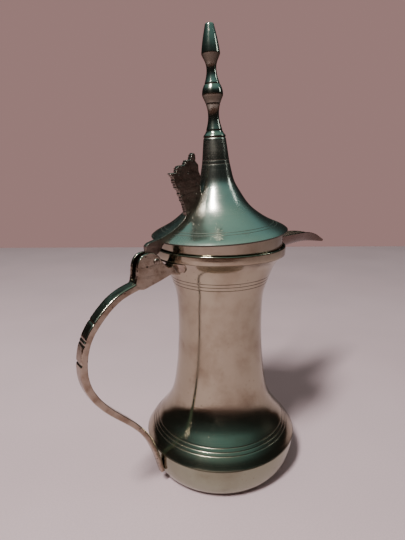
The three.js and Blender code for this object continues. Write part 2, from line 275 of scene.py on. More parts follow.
# the outline and its inner side carried round, with the heights near the top squeezed
# down to the notch's edge where the beak joins
def makeBodyShell():
    s = bodyShell
    plain, dips = grooved(potLine, s["grooves"], s["grooveWidth"], s["rows"])
    outer = sideways(plain, -s["grooveDepth"] * dips)
    inner = sideways(plain, -s["wall"])
    inner[0, 1] = plain[0, 1]
    inner[-1, 1] = plain[-1, 1]
    inner = inner[::3] if len(inner) % 3 == 1 else np.concatenate([inner[::3], inner[-1:]])
    profile = np.concatenate([outer, inner[::-1]])
    thick = np.concatenate([outer[:, 0] - potRadius(outer[:, 1]),
                            (inner[:, 0] - potRadius(inner[:, 1]))[::-1]])
    # painted shade: the grooves darkened, and a dark line painted at the seam for the shadow under the
    # shell's overhanging edge
    hollow = np.concatenate([s["grooveShade"] * np.minimum(dips, 1), np.zeros(len(inner))])
    hollow += np.exp(-(profile[:, 1] - seamHeight) / 0.35) * 0.8
    a = np.unique(np.concatenate([
        np.linspace(-s["notchFine"], s["notchFine"], 61),
        np.linspace(s["notchFine"], 2 * math.pi - s["notchFine"], s["around"])[:-1]]).round(6))
    edge = np.minimum(notchEdge((rimRadius - 3) * np.sin(a)), rimBase)
    edge = np.where(np.cos(a) > 0, edge, rimBase)
    z = np.repeat(profile[:, 1:2], len(a), 1)
    start = s["notchStart"]
    above = z > start
    z = np.where(above, start + (z - start) * (edge - start) / (rimBase - start), z)
    r = np.where(above, potRadius(z) + thick[:, None], profile[:, :1])
    vertices = onCircle(r, a, z).reshape(-1, 3)
    faces = gridFaces(len(profile), len(a), True, True)
    writeMesh("bodyShell", vertices, faces, {"hollow": np.repeat(hollow, len(a))})


# the recessed underside, the foot, the outline, a lip into the body, and the inner side, turned
def makeBasePan():
    s = basePan
    radius, top = panLine[-1]
    inner = sideways(panLine, -s["wall"])
    inner[:, 1] = np.maximum(inner[:, 1], s["recess"] + s["wall"])
    lip = [(radius - 0.25, top + 0.2), (radius - s["wall"], top + 0.2)]
    under = [(0, s["recess"]), (s["recessRadius"] - 1.5, s["recess"]), (s["recessRadius"], s["recess"] - 0.1),
             (s["recessRadius"] + 1.4, 0.08), (s["foot"] - 1, 0)]
    profile = np.concatenate([under, panLine, lip, inner[::-2][:-4], [(0, s["recess"] + s["wall"])]])
    # painted shade: darker at the seam under the body's edge, and on the underside and foot
    dips = np.exp(-np.abs(profile[:, 1] - top) / 0.25) * 0.9
    dips = np.where(profile[:, 0] > radius - 1, dips, 0) + np.where(profile[:, 1] < 0.7, 0.25, 0)
    turnedPiece("basePan", profile, dips, s["around"])


rimBand = {"wall": 1.2, "around": 230}


# the band's rounded profile carried round from one side of the notch to the other
def makeRimBand():
    s = rimBand
    low = extent("rim_band")[0][2]
    bore = rimRadius - s["wall"]
    half = s["wall"] / 2
    bend = np.linspace(0, math.pi, 9)
    top = np.stack([bore + half + half * np.cos(bend), rimTop - half + half * np.sin(bend)], 1)
    outside = [(bore, low), (rimRadius - 0.35, low - 0.12), (rimRadius - 0.12, low + 0.35),
               (rimRadius - 0.02, low + 1.2), (rimRadius, rimTop - 2.4), (rimRadius, rimTop - 1.2)]
    profile = np.concatenate([outside, top, [(bore, rimTop - 1.4), (bore, low + 1.5)]])
    depth = (beakTop - profile[:, 1]) / bodyShell["notchDepth"]
    share = np.clip(1 - depth, 0, 1) ** (1 / bodyShell["notchPower"])
    gap = np.arcsin(bodyShell["notchHalf"] * share / profile[:, 0])
    a = gap[:, None] + (2 * math.pi - 2 * gap[:, None]) * np.linspace(0, 1, s["around"])
    vertices = onCircle(profile[:, :1], a, profile[:, 1:2]).reshape(-1, 3)
    faces = gridFaces(len(profile), s["around"], True, False)
    ends = np.arange(len(profile)) * s["around"]
    faces += [ends.tolist(), (ends + s["around"] - 1)[::-1].tolist()]
    # a dark line along the band's lower edge: the solder joint there, and painted shade under the band
    hollow = np.exp(-np.abs(profile[:, 1] - low) / 0.3)
    writeMesh("rimBand", vertices, faces, {"hollow": np.repeat(hollow, s["around"])})


beak = {
    "half": 9.5, "wall": 1.1, "rise": 11.6, "rows": 90, "across": 25,
    "plan": [(0, 1), (0.35, 0.86), (0.6, 0.6), (0.82, 0.3), (1, 0.06)],  # shares of reach and width
    "edge": [(0, 0), (0.38, 0.005), (0.57, 0.06), (0.72, 0.22), (0.86, 0.5), (1, 0.86)],
    "keel": [(0, 0.94), (0.22, 0.88), (0.42, 0.75), (0.62, 0.7), (0.9, 0.9), (1, 0.99)],
}


# across and along the beak: y is a share of the plan's width, and z falls from the edge to
# the keel as 1 - |share|^p; the inner side is the same one wall in, and the first row lies
# on the pot's side
def makeBeak():
    s = beak
    t = np.linspace(0, 1, s["rows"])
    plan, edge, keel = [cubicThrough(s[key], 900) for key in ("plan", "edge", "keel")]
    half = s["half"] * np.interp(t, plan[:, 0], plan[:, 1])
    top = beakTop - s["rise"] * np.interp(t, edge[:, 0], edge[:, 1])
    low = beakTop - s["rise"] * np.interp(t, keel[:, 0], keel[:, 1])
    low = np.minimum(low, top - 0.55)
    power = 1.35 + 0.5 * np.sin(math.pi * t)
    v = np.sin(np.linspace(-1, 1, s["across"]) * math.pi / 2)
    wall = np.minimum(s["wall"], 0.5 * half)
    floorWall = np.minimum(s["wall"] + 0.1, 0.4 * (top - low))

    def side(width, drop):
        fall = drop[:, None] * (1 - np.abs(v) ** power[:, None])
        return np.stack([width[:, None] * v, top[:, None] - fall], -1)

    outer = side(half, top - low)
    inner = side(half - wall, top - low - floorWall)[:, ::-1]
    bend = np.linspace(0, math.pi, 6)[1:-1]
    right = np.stack([(half - wall / 2)[:, None] + wall[:, None] / 2 * np.cos(bend),
                      top[:, None] + wall[:, None] / 2 * np.sin(bend) * 0.7], -1)
    left = right[:, ::-1] * [-1, 1]
    loop = np.concatenate([outer, right, inner, left], 1)
    y, z = loop[..., 0], loop[..., 1] - 0.35 * np.clip(1 - t[:, None] * 9, 0, 1)
    onPot = np.where(z > rimBase - 0.2, rimRadius, potRadius(z) + 0.05)
    root = np.sqrt(onPot**2 - y**2) - 0.15
    reach = beakReach - 0.25 * (top[-1] - z) * 0.5
    x = root + (reach - root) * t[:, None]
    vertices = np.stack([x, y, z], -1).reshape(-1, 3)
    count = loop.shape[1]
    faces = gridFaces(s["rows"], count, False, True)
    for row in (0, s["rows"] - 1):
        first = row * count
        o = first + np.arange(s["across"])
        i = first + s["across"] + 4 + np.arange(s["across"])[::-1]
        strip = np.stack([o[:-1], o[1:], i[1:], i[:-1]], 1)
        lips = [[first + s["across"] - 1 + k for k in range(6)],
                [(first + 2 * s["across"] + 3 + k) if k < 5 else first for k in range(6)]]
        caps = strip.tolist() + lips
        faces += [f[::-1] for f in caps] if row == 0 else caps
    # painted shade: the beak's inside and its root against the pot darkened
    inside = np.zeros(count)
    inside[s["across"] + 4:2 * s["across"] + 4] = 0.45
    hollow = inside + np.exp(-t[:, None] / 0.012) * 0.9
    writeMesh("beak", vertices, faces, {"hollow": hollow}, 50)


# a flat outline of x and z points given a thickness from one y to another
def slab(outline, fromY, toY):
    outline = np.asarray(outline, float)
    n = len(outline)
    ends = [np.stack([outline[:, 0], np.full(n, y), outline[:, 1]], 1) for y in (fromY, toY)]
    this = np.arange(n)
    following = np.roll(this, -1)
    faces = np.stack([this, following, following + n, this + n], 1).tolist()
    return np.concatenate(ends), faces + [this[::-1].tolist(), (this + n).tolist()]


# a ring or rod lying along y through the hinge pin's centre
def onPin(profile, around, squash=None):
    vertices, faces = turnedShell(profile, around, squash)
    return pinAt + vertices[:, [0, 2, 1]], faces


# slow unevenness of a hand-finished casting: three waves across each other, from -1 to 1
def wavering(vertices, length):
    x, y, z = (vertices * (2 * math.pi / length)).T
    waves = np.sin(x + 1.3 * np.sin(0.7 * z)) + np.sin(1.7 * z + 0.9 * y + 2) + np.sin(1.2 * y - x + 0.5 * z)
    return waves / 3


# how far each vertex lies in a dip (above 0) or on an edge (below 0): the way to the mean of
# its neighbours along the normal, averaged over the surface a few times
def reliefOf(vertices, quads, spread):
    n = len(vertices)
    a = quads.ravel()
    b = np.roll(quads, -1, 1).ravel()
    share = 1 / np.maximum(np.bincount(a, minlength=n) + np.bincount(b, minlength=n), 1)

    def neighbours(values):
        return (np.bincount(a, values[b], n) + np.bincount(b, values[a], n)) * share

    corner = [vertices[quads[:, k]] for k in range(4)]
    across = np.cross(corner[2] - corner[0], corner[3] - corner[1])
    normal = np.stack([np.bincount(a, np.repeat(across[:, k], 4), n) for k in range(3)], 1)
    normal /= np.maximum(np.linalg.norm(normal, axis=1), 1e-9)[:, None]
    mean = np.stack([neighbours(vertices[:, k]) for k in range(3)], 1)
    relief = ((mean - vertices) * normal).sum(1)
    for _ in range(spread):
        relief = 0.4 * relief + 0.6 * neighbours(relief)
    return relief, normal


# closed shells fused into one skin of small quads, smoothed, then settled by the function
def castPiece(name, shells, look, settle):
    vertices = np.concatenate([v for v, _ in shells])
    starts = np.cumsum([0] + [len(v) for v, _ in shells])
    faces = [[i + start for i in face] for (_, group), start in zip(shells, starts) for face in group]
    mesh = bpy.data.meshes.new(name + "Rough")
    mesh.from_pydata(vertices.tolist(), [], faces)
    rough = addObject(name + "Rough", mesh)
    fuse = rough.modifiers.new("fuse", "REMESH")
    fuse.mode = "VOXEL"
    fuse.voxel_size = look["grain"]
    ease = rough.modifiers.new("ease", "SMOOTH")
    ease.factor = 0.5
    ease.iterations = look["smoothing"]
    result = rough.evaluated_get(bpy.context.evaluated_depsgraph_get()).to_mesh()
    fused = np.zeros(len(result.vertices) * 3)
    result.vertices.foreach_get("co", fused)
    fused = fused.reshape(-1, 3)
    corners = np.zeros(len(result.loops), np.int32)
    result.loops.foreach_get("vertex_index", corners)
    quads = corners.reshape(-1, 4)
    bpy.data.objects.remove(rough)
    relief, normal = reliefOf(fused, quads, look["spread"])
    fused = fused + normal * (look["waver"] * wavering(fused, look["waverLength"]))[:, None]
    # painted shade: the deeper a dip, the darker it is painted
    hollow = np.clip(relief / look["reliefScale"], 0, 1)
    worn = np.clip(-relief / look["reliefScale"], 0, 1)
    print(name, len(quads) * 2, "triangles")
    writeMesh(name, settle(fused), quads.tolist(), {"hollow": hollow, "worn": worn}, look["crease"])


handle = {
    "grain": 0.3, "smoothing": 2, "spread": 5, "reliefScale": 0.035, "waver": 0.045, "waverLength": 9,
    "crease": 70, "widest": 96, "foot": 8.6, "gripThickness": 4, "footThickness": 2.4,
    "upper": [(0.28, 0.76), (0.529, 0.68), (0.751, 0.521), (0.907, 0.343), (0.989, 0.115)],
    "lower": [(0.987, 0.927), (0.896, 0.799), (0.716, 0.667), (0.457, 0.523), (0.227, 0.363),
              (0.097, 0.205), (0.019, 0.062), (-0.009, 0)],
    "width": [(0, 3.6), (96, 6.4), (133, 7.8), (158, 7.8)],  # height, width there
    "notches": [120, 112.2, 110.4, 100.3], "notchDepth": [0.4, 0.45, 0.35, 0.8], "notchWidth": 0.5,
    "notchSlant": 0.12, "square": 0.26, "overThick": 0.12,
    "fork": [(-15.6, -13.6), (-13.4, -8.4), (-12.5, -1.4), (-10.6, 2.9), (-7.3, 5), (-3.8, 5.4),
             (-0.6, 4.4), (2, 2.2), (3.7, -0.4), (7.6, -4.6)],
    "forkBelow": [(16, -4.6), (16, -10.4), (9.4, -9.2), (1, -12), (-9, -14.8)],
    "slotFloor": [(-13.4, -9.2), (-6, -9), (0, -5.6), (8, -4.7), (16, -4.7)],
    "slotWidth": 4.2, "eyeRadius": 1.6,
    "wingHalf": 12.6, "wingTaper": 4.5, "wingHeight": 6, "wingThickness": 1.7, "embed": 0.25,
}


# rounded-square sections carried down the strap's middle line: half thickness along the
# line's normal, half width along y, less the filed notches on the outer face
def strapShell():
    s = handle
    reach = extent("handle")[0][0] + s["gripThickness"] / 2
    upper = placed(s["upper"], (pinAt[0], reach), (s["widest"], pinAt[2]))
    lower = placed(s["lower"], (-seamRadius, reach), (s["foot"], s["widest"]))
    line = cubicThrough(upper + lower, 420)
    share = np.linspace(0, 1, len(line))
    thinning = (s["footThickness"] - s["gripThickness"]) * np.clip(share * 1.6 - 0.6, 0, 1)
    halfThick = (s["gripThickness"] + thinning) / 2 + s["overThick"]
    width = np.array(s["width"])
    halfWide = np.interp(line[:, 1], width[:, 0], width[:, 1]) / 2 + s["overThick"]
    a = np.linspace(0, 2 * math.pi, 48, endpoint=False)
    c = np.sign(np.cos(a)) * np.abs(np.cos(a)) ** s["square"]
    w = np.sign(np.sin(a)) * np.abs(np.sin(a)) ** s["square"]
    arc = arcLength(line)
    outerHalf = line[:, 1] > s["widest"]
    marks = np.interp([-h for h in s["notches"]], -line[outerHalf, 1], arc[outerHalf])
    y = halfWide[:, None] * w
    cut = sum(depth * np.exp(-((arc[:, None] - mark + s["notchSlant"] * y) / s["notchWidth"]) ** 2)
              for depth, mark in zip(s["notchDepth"], marks))
    away = halfThick[:, None] * c - np.where(c > 0.3, cut, 0)
    direction = np.gradient(line, axis=0)
    direction /= np.linalg.norm(direction, axis=1)[:, None]
    x = line[:, :1] + direction[:, 1:] * away
    z = line[:, 1:] - direction[:, :1] * away
    vertices = np.stack([x, y, z], -1).reshape(-1, 3)
    faces = gridFaces(len(line), len(a), False, True)
    last = (len(line) - 1) * len(a)
    return vertices, faces + [list(range(len(a)))[::-1], list(range(last, last + len(a)))]


# the sheet between two radii over the neck's flare, narrower towards its lower edge and
# thinner as 1 - 0.55 u^4 towards its ends
def wingShell():
    s = handle
    high = rimBase - 0.2
    v = np.linspace(0, 1, 9)
    z = high - s["wingHeight"] * (1 - v)
    halfSpan = s["wingHalf"] - s["wingTaper"] * (1 - v) ** 2
    u = np.linspace(-1, 1, 61)
    thick = s["wingThickness"] * (1 - 0.55 * u**4)
    outer = potRadius(z)[:, None] + thick
    inner = np.repeat(potRadius(z)[:, None] - s["embed"], len(u), 1)
    sheets = []
    for radius in (outer, inner[::-1]):
        span = (halfSpan if radius is outer else halfSpan[::-1])[:, None] * u
        rise = (z if radius is outer else z[::-1])[:, None] + 0 * u
        sheets.append(np.stack([-np.sqrt(radius**2 - span**2), span, rise], -1))
    grid = np.concatenate(sheets)
    rows, cols = grid.shape[:2]
    faces = gridFaces(rows, cols, True, False)
    ends = np.arange(rows) * cols
    return grid.reshape(-1, 3), faces + [ends[::-1].tolist(), (ends + cols - 1).tolist()]


# strap, wings and two ears, with the floor of the slot between the ears
def makeHandle():
    s = handle
    pin = pinAt[[0, 2]]
    upper = cubicThrough(s["fork"], 60)
    ear = np.concatenate([upper, s["forkBelow"]]) + pin
    core = np.concatenate([[(-15.6, -13.6)], s["slotFloor"], s["forkBelow"][1:]]) + pin
    half = np.interp(pinAt[2], *np.array(s["width"]).T) / 2
    inside = s["slotWidth"] / 2
    shells = [strapShell(), wingShell(), slab(ear, inside, half), slab(ear, -half, -inside),
              slab(core, -inside - 0.4, inside + 0.4)]

    # bores the ears round the pin and keeps what touches the pot just under its surface
    def settle(vertices):
        d = vertices - pinAt
        fromPin = np.hypot(d[:, 0], d[:, 2])
        bored = (fromPin < s["eyeRadius"]) & (np.abs(d[:, 1]) > inside - 0.5)
        grow = np.where(bored, s["eyeRadius"] / np.maximum(fromPin, 1e-3), 1)
        vertices[:, 0] = pinAt[0] + d[:, 0] * grow
        vertices[:, 2] = pinAt[2] + d[:, 2] * grow
        radius = np.hypot(vertices[:, 0], vertices[:, 1])
        least = potSide(vertices[:, 2]) - s["embed"]
        push = np.where(radius < least, least / radius, 1)
        vertices[:, :2] *= push[:, None]
        return vertices

    castPiece("handle", shells, s, settle)


hingePin = {"radius": 1.3, "headRadius": 1.9, "headInside": 3.92, "out": 4.85, "around": 40}


# a rod with a hammered dome at each end, lying along y
def makeHingePin():
    s = hingePin
    rise = s["out"] - s["headInside"] - 0.25
    dome = np.stack([s["headRadius"] * np.cos(np.linspace(0, math.pi / 2, 9)),
                     s["headInside"] + 0.25 + rise * np.sin(np.linspace(0, math.pi / 2, 9))], 1)
    half = np.concatenate([[(s["radius"], 0.1), (s["radius"], s["headInside"]),
                            (s["headRadius"] - 0.12, s["headInside"])], dome])
    half[-1, 0] = 0
    profile = np.concatenate([half[::-1] * [1, -1], half])

    def hammered(a, height):  # facets left by the hammer, on the heads only
        on = np.clip((np.abs(height) - s["headInside"]) * 3, 0, 1)
        return 1 + on * (0.05 * np.cos(3 * a + 1 + np.sign(height)) + 0.03 * np.cos(7 * a))

    vertices, faces = onPin(profile, s["around"], hammered)
    # painted shade: the shaft inside the ears darkened, the heads left bright
    heads = np.abs(vertices[:, 1]) > s["headInside"] + 0.3
    writeMesh("hingePin", vertices, faces, {"hollow": np.where(heads, 0, 0.8)}, 50)


lidShell = {
    "overhang": 2.5, "rise": 5.6, "crownRadius": 6.65, "height": 56.2, "wall": 1, "around": 220,
    "rows": 150, "bore": 1.5,
    "shares": [(1, 0), (0.984, 0.009), (0.853, 0.057), (0.706, 0.103), (0.54, 0.173),
               (0.361, 0.276), (0.203, 0.432), (0.116, 0.543), (0.075, 0.651), (0.045, 0.756),
               (0.026, 0.861), (0, 1)],
    # the grooves' heights and size, and how dark the shade painted in them is
    "grooves": [161.0, 162.0, 198.3, 200.5], "grooveDepth": 0.05, "grooveWidth": 0.24, "grooveShade": 0.9,
}
brimRadius = rimRadius - rimBand["wall"] + lidShell["overhang"]
brimHeight = rimTop + lidShell["rise"]
crownTop = brimHeight + lidShell["height"]
lidLine = cubicThrough(placed(lidShell["shares"], (lidShell["crownRadius"], brimRadius),
                              (brimHeight, crownTop)), 1600)


# the brim's rolled edge, the outline, the flat crown round the stud's bore, and the inner side
def makeLidShell():
    s = lidShell
    plain, dips = grooved(lidLine, s["grooves"], s["grooveWidth"], s["rows"])
    outer = sideways(plain, -s["grooveDepth"] * dips)
    inner = sideways(plain, -s["wall"])
    ceiling = crownTop - s["wall"]
    inner = inner[(inner[:, 1] > brimHeight - 0.5) & (inner[:, 1] < ceiling - 0.3)][::2]
    rim = [(brimRadius - 1.5, brimHeight - 0.95), (brimRadius - 0.8, brimHeight - 0.95),
           (brimRadius - 0.3, brimHeight - 0.8), (brimRadius - 0.03, brimHeight - 0.45),
           (brimRadius + 0.02, brimHeight - 0.15)]
    crown = [(s["crownRadius"] - 0.3, crownTop), (s["bore"], crownTop), (s["bore"], ceiling),
             (inner[-1, 0] - 0.4, ceiling)]
    outer = outer[outer[:, 1] < crownTop - 0.25]
    profile = np.concatenate([rim, outer, crown, inner[::-1]])
    # painted shade: the brim's rolled underside, the grooves, the crown round the bore and the inner side
    # darkened
    hollow = np.concatenate([[0.8] * len(rim), s["grooveShade"] * dips[:len(outer)], [0.9] * len(crown),
                             np.full(len(inner), 0.35)])
    turnedPiece("lidShell", profile, hollow, s["around"], True)


lidSkirt = {"clearance": 1, "spread": 0.8, "wall": 1, "drop": 4.1, "around": 200, "bead": 0.25}


# a ring that widens upwards, with a small bead at its lower edge
def makeLidSkirt():
    s = lidSkirt
    low = rimTop - s["drop"]
    high = brimHeight - 0.35
    outside = rimRadius - rimBand["wall"] - s["clearance"]
    t = np.linspace(0, 1, 24)
    z = low + (high - low) * t
    bead = s["bead"] * bells(z, [low + 0.5], 0.45)
    outer = np.stack([outside + s["spread"] * t + bead, z], 1)
    inner = np.stack([outside + s["spread"] * t - s["wall"], z], 1)[::-1]
    foot = [(outside - s["wall"] + 0.25, low - 0.12), (outside - 0.3, low - 0.12)]
    profile = np.concatenate([foot, outer, inner])
    # painted shade: darker towards the top under the brim, at the bead and on the inner side
    hollow = np.concatenate([[0.3] * 2, np.exp(-(high - z) / 0.5) + 0.5 * bells(z, [low + 1.3], 0.4),
                             np.full(len(inner), 0.35)])
    turnedPiece("lidSkirt", profile, hollow, s["around"], True)


thumbLever = {
    "grain": 0.26, "smoothing": 2, "spread": 4, "reliefScale": 0.05, "waver": 0.04, "waverLength": 7,
    "crease": 70, "thickness": 3.2, "hub": 3.7, "bore": 1.6, "intoLid": 0.4,
    "outside": [  # from the knuckle up the arm and the toothed edge, over the top and down inside
        (-3.7, 0), (-4.3, 5.2), (-4.4, 9.2), (-2.5, 10.5), (0.5, 11.2), (6.4, 12.2), (13.6, 14.7),
        (18.2, 16.9), (22.2, 19.6), (24.6, 22.2), (24.4, 24.8), (23.7, 28), (23.3, 29.8), (22.2, 31),
        (22.1, 33), (20.9, 34.4), (20.9, 36.6), (18.7, 38.8), (18.6, 40.4), (17.6, 41.8),
        (17.5, 44.4), (15.2, 46.9), (19.7, 46.9), (20.2, 49.4), (21.8, 50.7), (25.8, 50.8),
        (27.2, 53.3), (30.3, 53.4), (31.5, 56.4), (32.9, 57.4), (34.1, 56), (33.9, 52.6),
        (35.9, 50.4), (35.9, 46.8), (37.1, 43.8), (36.5, 38.8), (36.9, 33)],
    "teeth": 0.22, "teethEvery": 1.5,
}


# the outline with small file teeth along its toothed edge, closed down the lid's own flank
def leverOutline():
    s = thumbLever
    points = np.array(s["outside"], float)
    arc = arcLength(points)
    stops = np.unique(np.concatenate([arc, np.arange(0, arc[-1], 0.3)]).round(4))
    line = np.stack([np.interp(stops, arc, points[:, k]) for k in (0, 1)], 1)
    toothed = (line[:, 1] > 24) & (line[:, 0] < 34) & (stops < arc[-4])
    bite = s["teeth"] * np.cos(stops * 2 * math.pi / s["teethEvery"]) * toothed
    line = sideways(line, -bite)
    flank = sideways(lidLine, -s["intoLid"])
    flank = np.stack([-pinAt[0] - flank[:, 0], flank[:, 1] - pinAt[2]], 1)
    flank = flank[(flank[:, 1] < 31) & (flank[:, 0] > 9)][::-8]
    return np.concatenate([line, flank, [(7.3, 8.4), (3.4, 4)]])


# a flat blade, and a ring round the pin
def makeThumbLever():
    s = thumbLever
    half = s["thickness"] / 2
    blade = slab(leverOutline() + pinAt[[0, 2]], -half, half)
    edge = 0.3
    hub = onPin([(s["bore"], -half), (s["hub"] - edge, -half), (s["hub"], -half + edge),
                 (s["hub"], half - edge), (s["hub"] - edge, half), (s["bore"], half)], 48)
    castPiece("thumbLever", [blade, hub], s, opened)


finial = {
    # 0.62 on the next line sets how dark the shade painted under the downward faces is
    "bore": 1.5, "around": 96, "recess": 0.3, "inset": 0.35, "paintedShade": 0.62,
    "heights": [3.6, 14.6, 10.2, 31.2],  # of the collar, neck, ball and tip
    "collar": [(6.65, 0), (6.62, 0.22), (6.3, 0.38), (5.6, 0.62), (5, 1)],  # radius, share of height
    "neck": [(4.9, 0), (3.9, 0.24), (3.3, 0.48), (3.25, 0.64), (3.6, 0.85), (4.2, 1)],
    "ball": [(4.3, 0), (5.3, 0.24), (6.05, 0.42), (6.1, 0.56), (5.6, 0.8), (4.7, 1)],
    "tip": [(4.5, 0), (3.7, 0.08), (3.1, 0.16), (2.85, 0.25), (3.1, 0.33), (3.9, 0.4),
            (4.9, 0.465), (5.35, 0.5)],
    "cone": [(5.35, 0.515), (5.1, 0.58), (3.7, 0.82), (2.5, 0.985)], "socket": 0.4,
}
finialJoints = [crownTop]  # height of each joint, from the crown up
for height in finial["heights"]:
    finialJoints.append(finialJoints[-1] + finial["recess"] + height)


# painted shade where a profile faces down: the outward share of its direction upward
def underside(profile):
    step = np.gradient(profile, axis=0)
    out = step[:, 0] / (np.linalg.norm(step, axis=1) + 1e-9)
    return finial["paintedShade"] * np.clip(out * 2.5, 0, 1)


def beadCurve(outline, joint, count):  # an outline's curve, over its own piece's height
    base = finialJoints[joint] + finial["recess"]
    top = finialJoints[joint + 1]
    return cubicThrough([(r, base + (top - base) * share) for r, share in outline], count)


def jointRecess(curve):  # a narrow step in under the curve's first point
    s = finial
    foot, base = curve[0]
    return [(s["bore"], base - s["recess"]), (foot - s["inset"], base - s["recess"]),
            (foot - s["inset"], base - 0.02), (foot - 0.12, base)]


# a turned piece on the stud: a narrow recess at the joint, then the outline's own curve
def makeBead(name, outline, joint):
    s = finial
    top = finialJoints[joint + 1]
    curve = beadCurve(outline, joint, 40)
    profile = np.concatenate([
        jointRecess(curve), curve[1:-1], [(curve[-1, 0] - 0.1, top - 0.03), (s["bore"], top)]])
    # painted shade: on the downward faces, in the joint's recess and at the top under the next piece
    hollow = underside(profile)
    hollow[:4] = 1
    hollow[-2:] = 0.6
    turnedPiece(name, profile, hollow, s["around"], True, 30)


# the same with a socket for the stud, and a cone above a sharp edge
def makeFinialTip():
    s = finial
    top = finialJoints[4]
    lower = beadCurve(s["tip"], 3, 40)
    upper = beadCurve(s["cone"], 3, 24)
    base = finialJoints[3] + s["recess"]
    socket = base + s["socket"] * (top - base)
    profile = np.concatenate([
        [(0, socket), (s["bore"], socket)], jointRecess(lower), lower[1:], upper,
        [(2.2, top - 0.15), (1.8, top), (1.2, top - 0.12), (0, top - 0.2)]])
    # painted shade: on the downward faces, in the socket and joint recess, and in the small dip at the top
    hollow = underside(profile)
    hollow[:6] = 1
    hollow[-3:] = 0.8
    turnedPiece("finialTip", profile, hollow, s["around"], True, 30)


fastening = {"stud": 1.2, "washer": 4.4, "washerThickness": 0.8, "nut": 3.2, "nutThickness": 2.4,
             "studOut": 1.5, "threadPitch": 0.5, "threadDepth": 0.12, "gap": 0.3}


# the stud has a thread of rings below the nut, and the nut is a hexagon cut by a cone:
# its radius is the smaller of the flat's and the cone's
def makeFastening():
    s = fastening
    ceiling = crownTop - lidShell["wall"]
    washerLow = ceiling - s["gap"] - s["washerThickness"]
    nutLow = washerLow - s["gap"] - s["nutThickness"]
    studLow = nutLow - s["studOut"]
    tipHeight = finial["heights"][3]
    studHigh = finialJoints[3] + finial["recess"] + finial["socket"] * tipHeight - s["gap"]
    z = np.linspace(studLow + 0.2, washerLow, 60)
    rings = s["stud"] - s["threadDepth"] * (0.5 - 0.5 * np.cos(2 * math.pi * z / s["threadPitch"]))
    stud = np.concatenate([[(0, studLow), (s["stud"] - 0.3, studLow)], np.stack([rings, z], 1),
                           [(s["stud"], washerLow + 0.1), (s["stud"], studHigh), (0, studHigh)]])
    # painted shade: the stud, washer and nut inside the crown darkened all over
    turnedPiece("finialStud", stud, np.full(len(stud), 0.5), 32, True)
    edge = 0.12
    washerHigh = ceiling - 0.02
    washer = [(finial["bore"], washerLow), (s["washer"] - edge, washerLow),
              (s["washer"], washerLow + edge), (s["washer"], washerHigh - edge),
              (s["washer"] - edge, washerHigh), (finial["bore"], washerHigh)]
    turnedPiece("finialWasher", washer, np.full(len(washer), 0.4), 72, True)
    around = 96
    a = np.linspace(0, 2 * math.pi, around, endpoint=False)
    flat = s["nut"] * math.cos(math.pi / 6) / np.cos((a + math.pi / 6) % (math.pi / 3) - math.pi / 6)
    z = np.array([0, 0.001, 0.12, 0.3, 0.7, 0.88, 0.999, 1]) * (s["nutThickness"] + 0.28) + nutLow
    cone = np.array([0, 2.75, 2.95, 3.3, 3.3, 2.95, 2.75, 0])
    radius = np.minimum(cone[:, None], flat)
    radius[[0, -1]] = finial["bore"] - 0.25
    nut = opened(onCircle(radius, a, z[:, None]).reshape(-1, 3))
    writeMesh("finialNut", nut, gridFaces(len(z), around, True, True), {"hollow": np.full(len(nut), 0.4)}, 30)


makeBodyShell()
makeBasePan()
makeRimBand()
makeBeak()
print("pot made")
makeHandle()
makeHingePin()
print("handle and pin made")
makeLidShell()
makeLidSkirt()
makeThumbLever()
print("lid made")
for joint, bead in enumerate(("collar", "neck", "ball")):
    makeBead("finial" + bead.title(), finial[bead], joint)
makeFinialTip()
makeFastening()
print("finial made")


def asMath(operation, reflected=False):  # an operator that adds a Math node
    def build(self, other):
        a, b = (other, self) if reflected else (self, other)
        return self.paint.node("ShaderNodeMath", {"operation": operation}, {0: a, 1: b})

    return build


# a socket that adds Math nodes when it is used in an expression
class Wire:
    def __init__(self, paint, socket):
        self.paint = paint
        self.socket = socket

    __add__ = asMath("ADD")
    __radd__ = asMath("ADD", True)
    __sub__ = asMath("SUBTRACT")
    __rsub__ = asMath("SUBTRACT", True)
    __mul__ = asMath("MULTIPLY")
    __rmul__ = asMath("MULTIPLY", True)

    def clamped(self):
        wire = self + 0.0
        wire.socket.node.use_clamp = True
        return wire


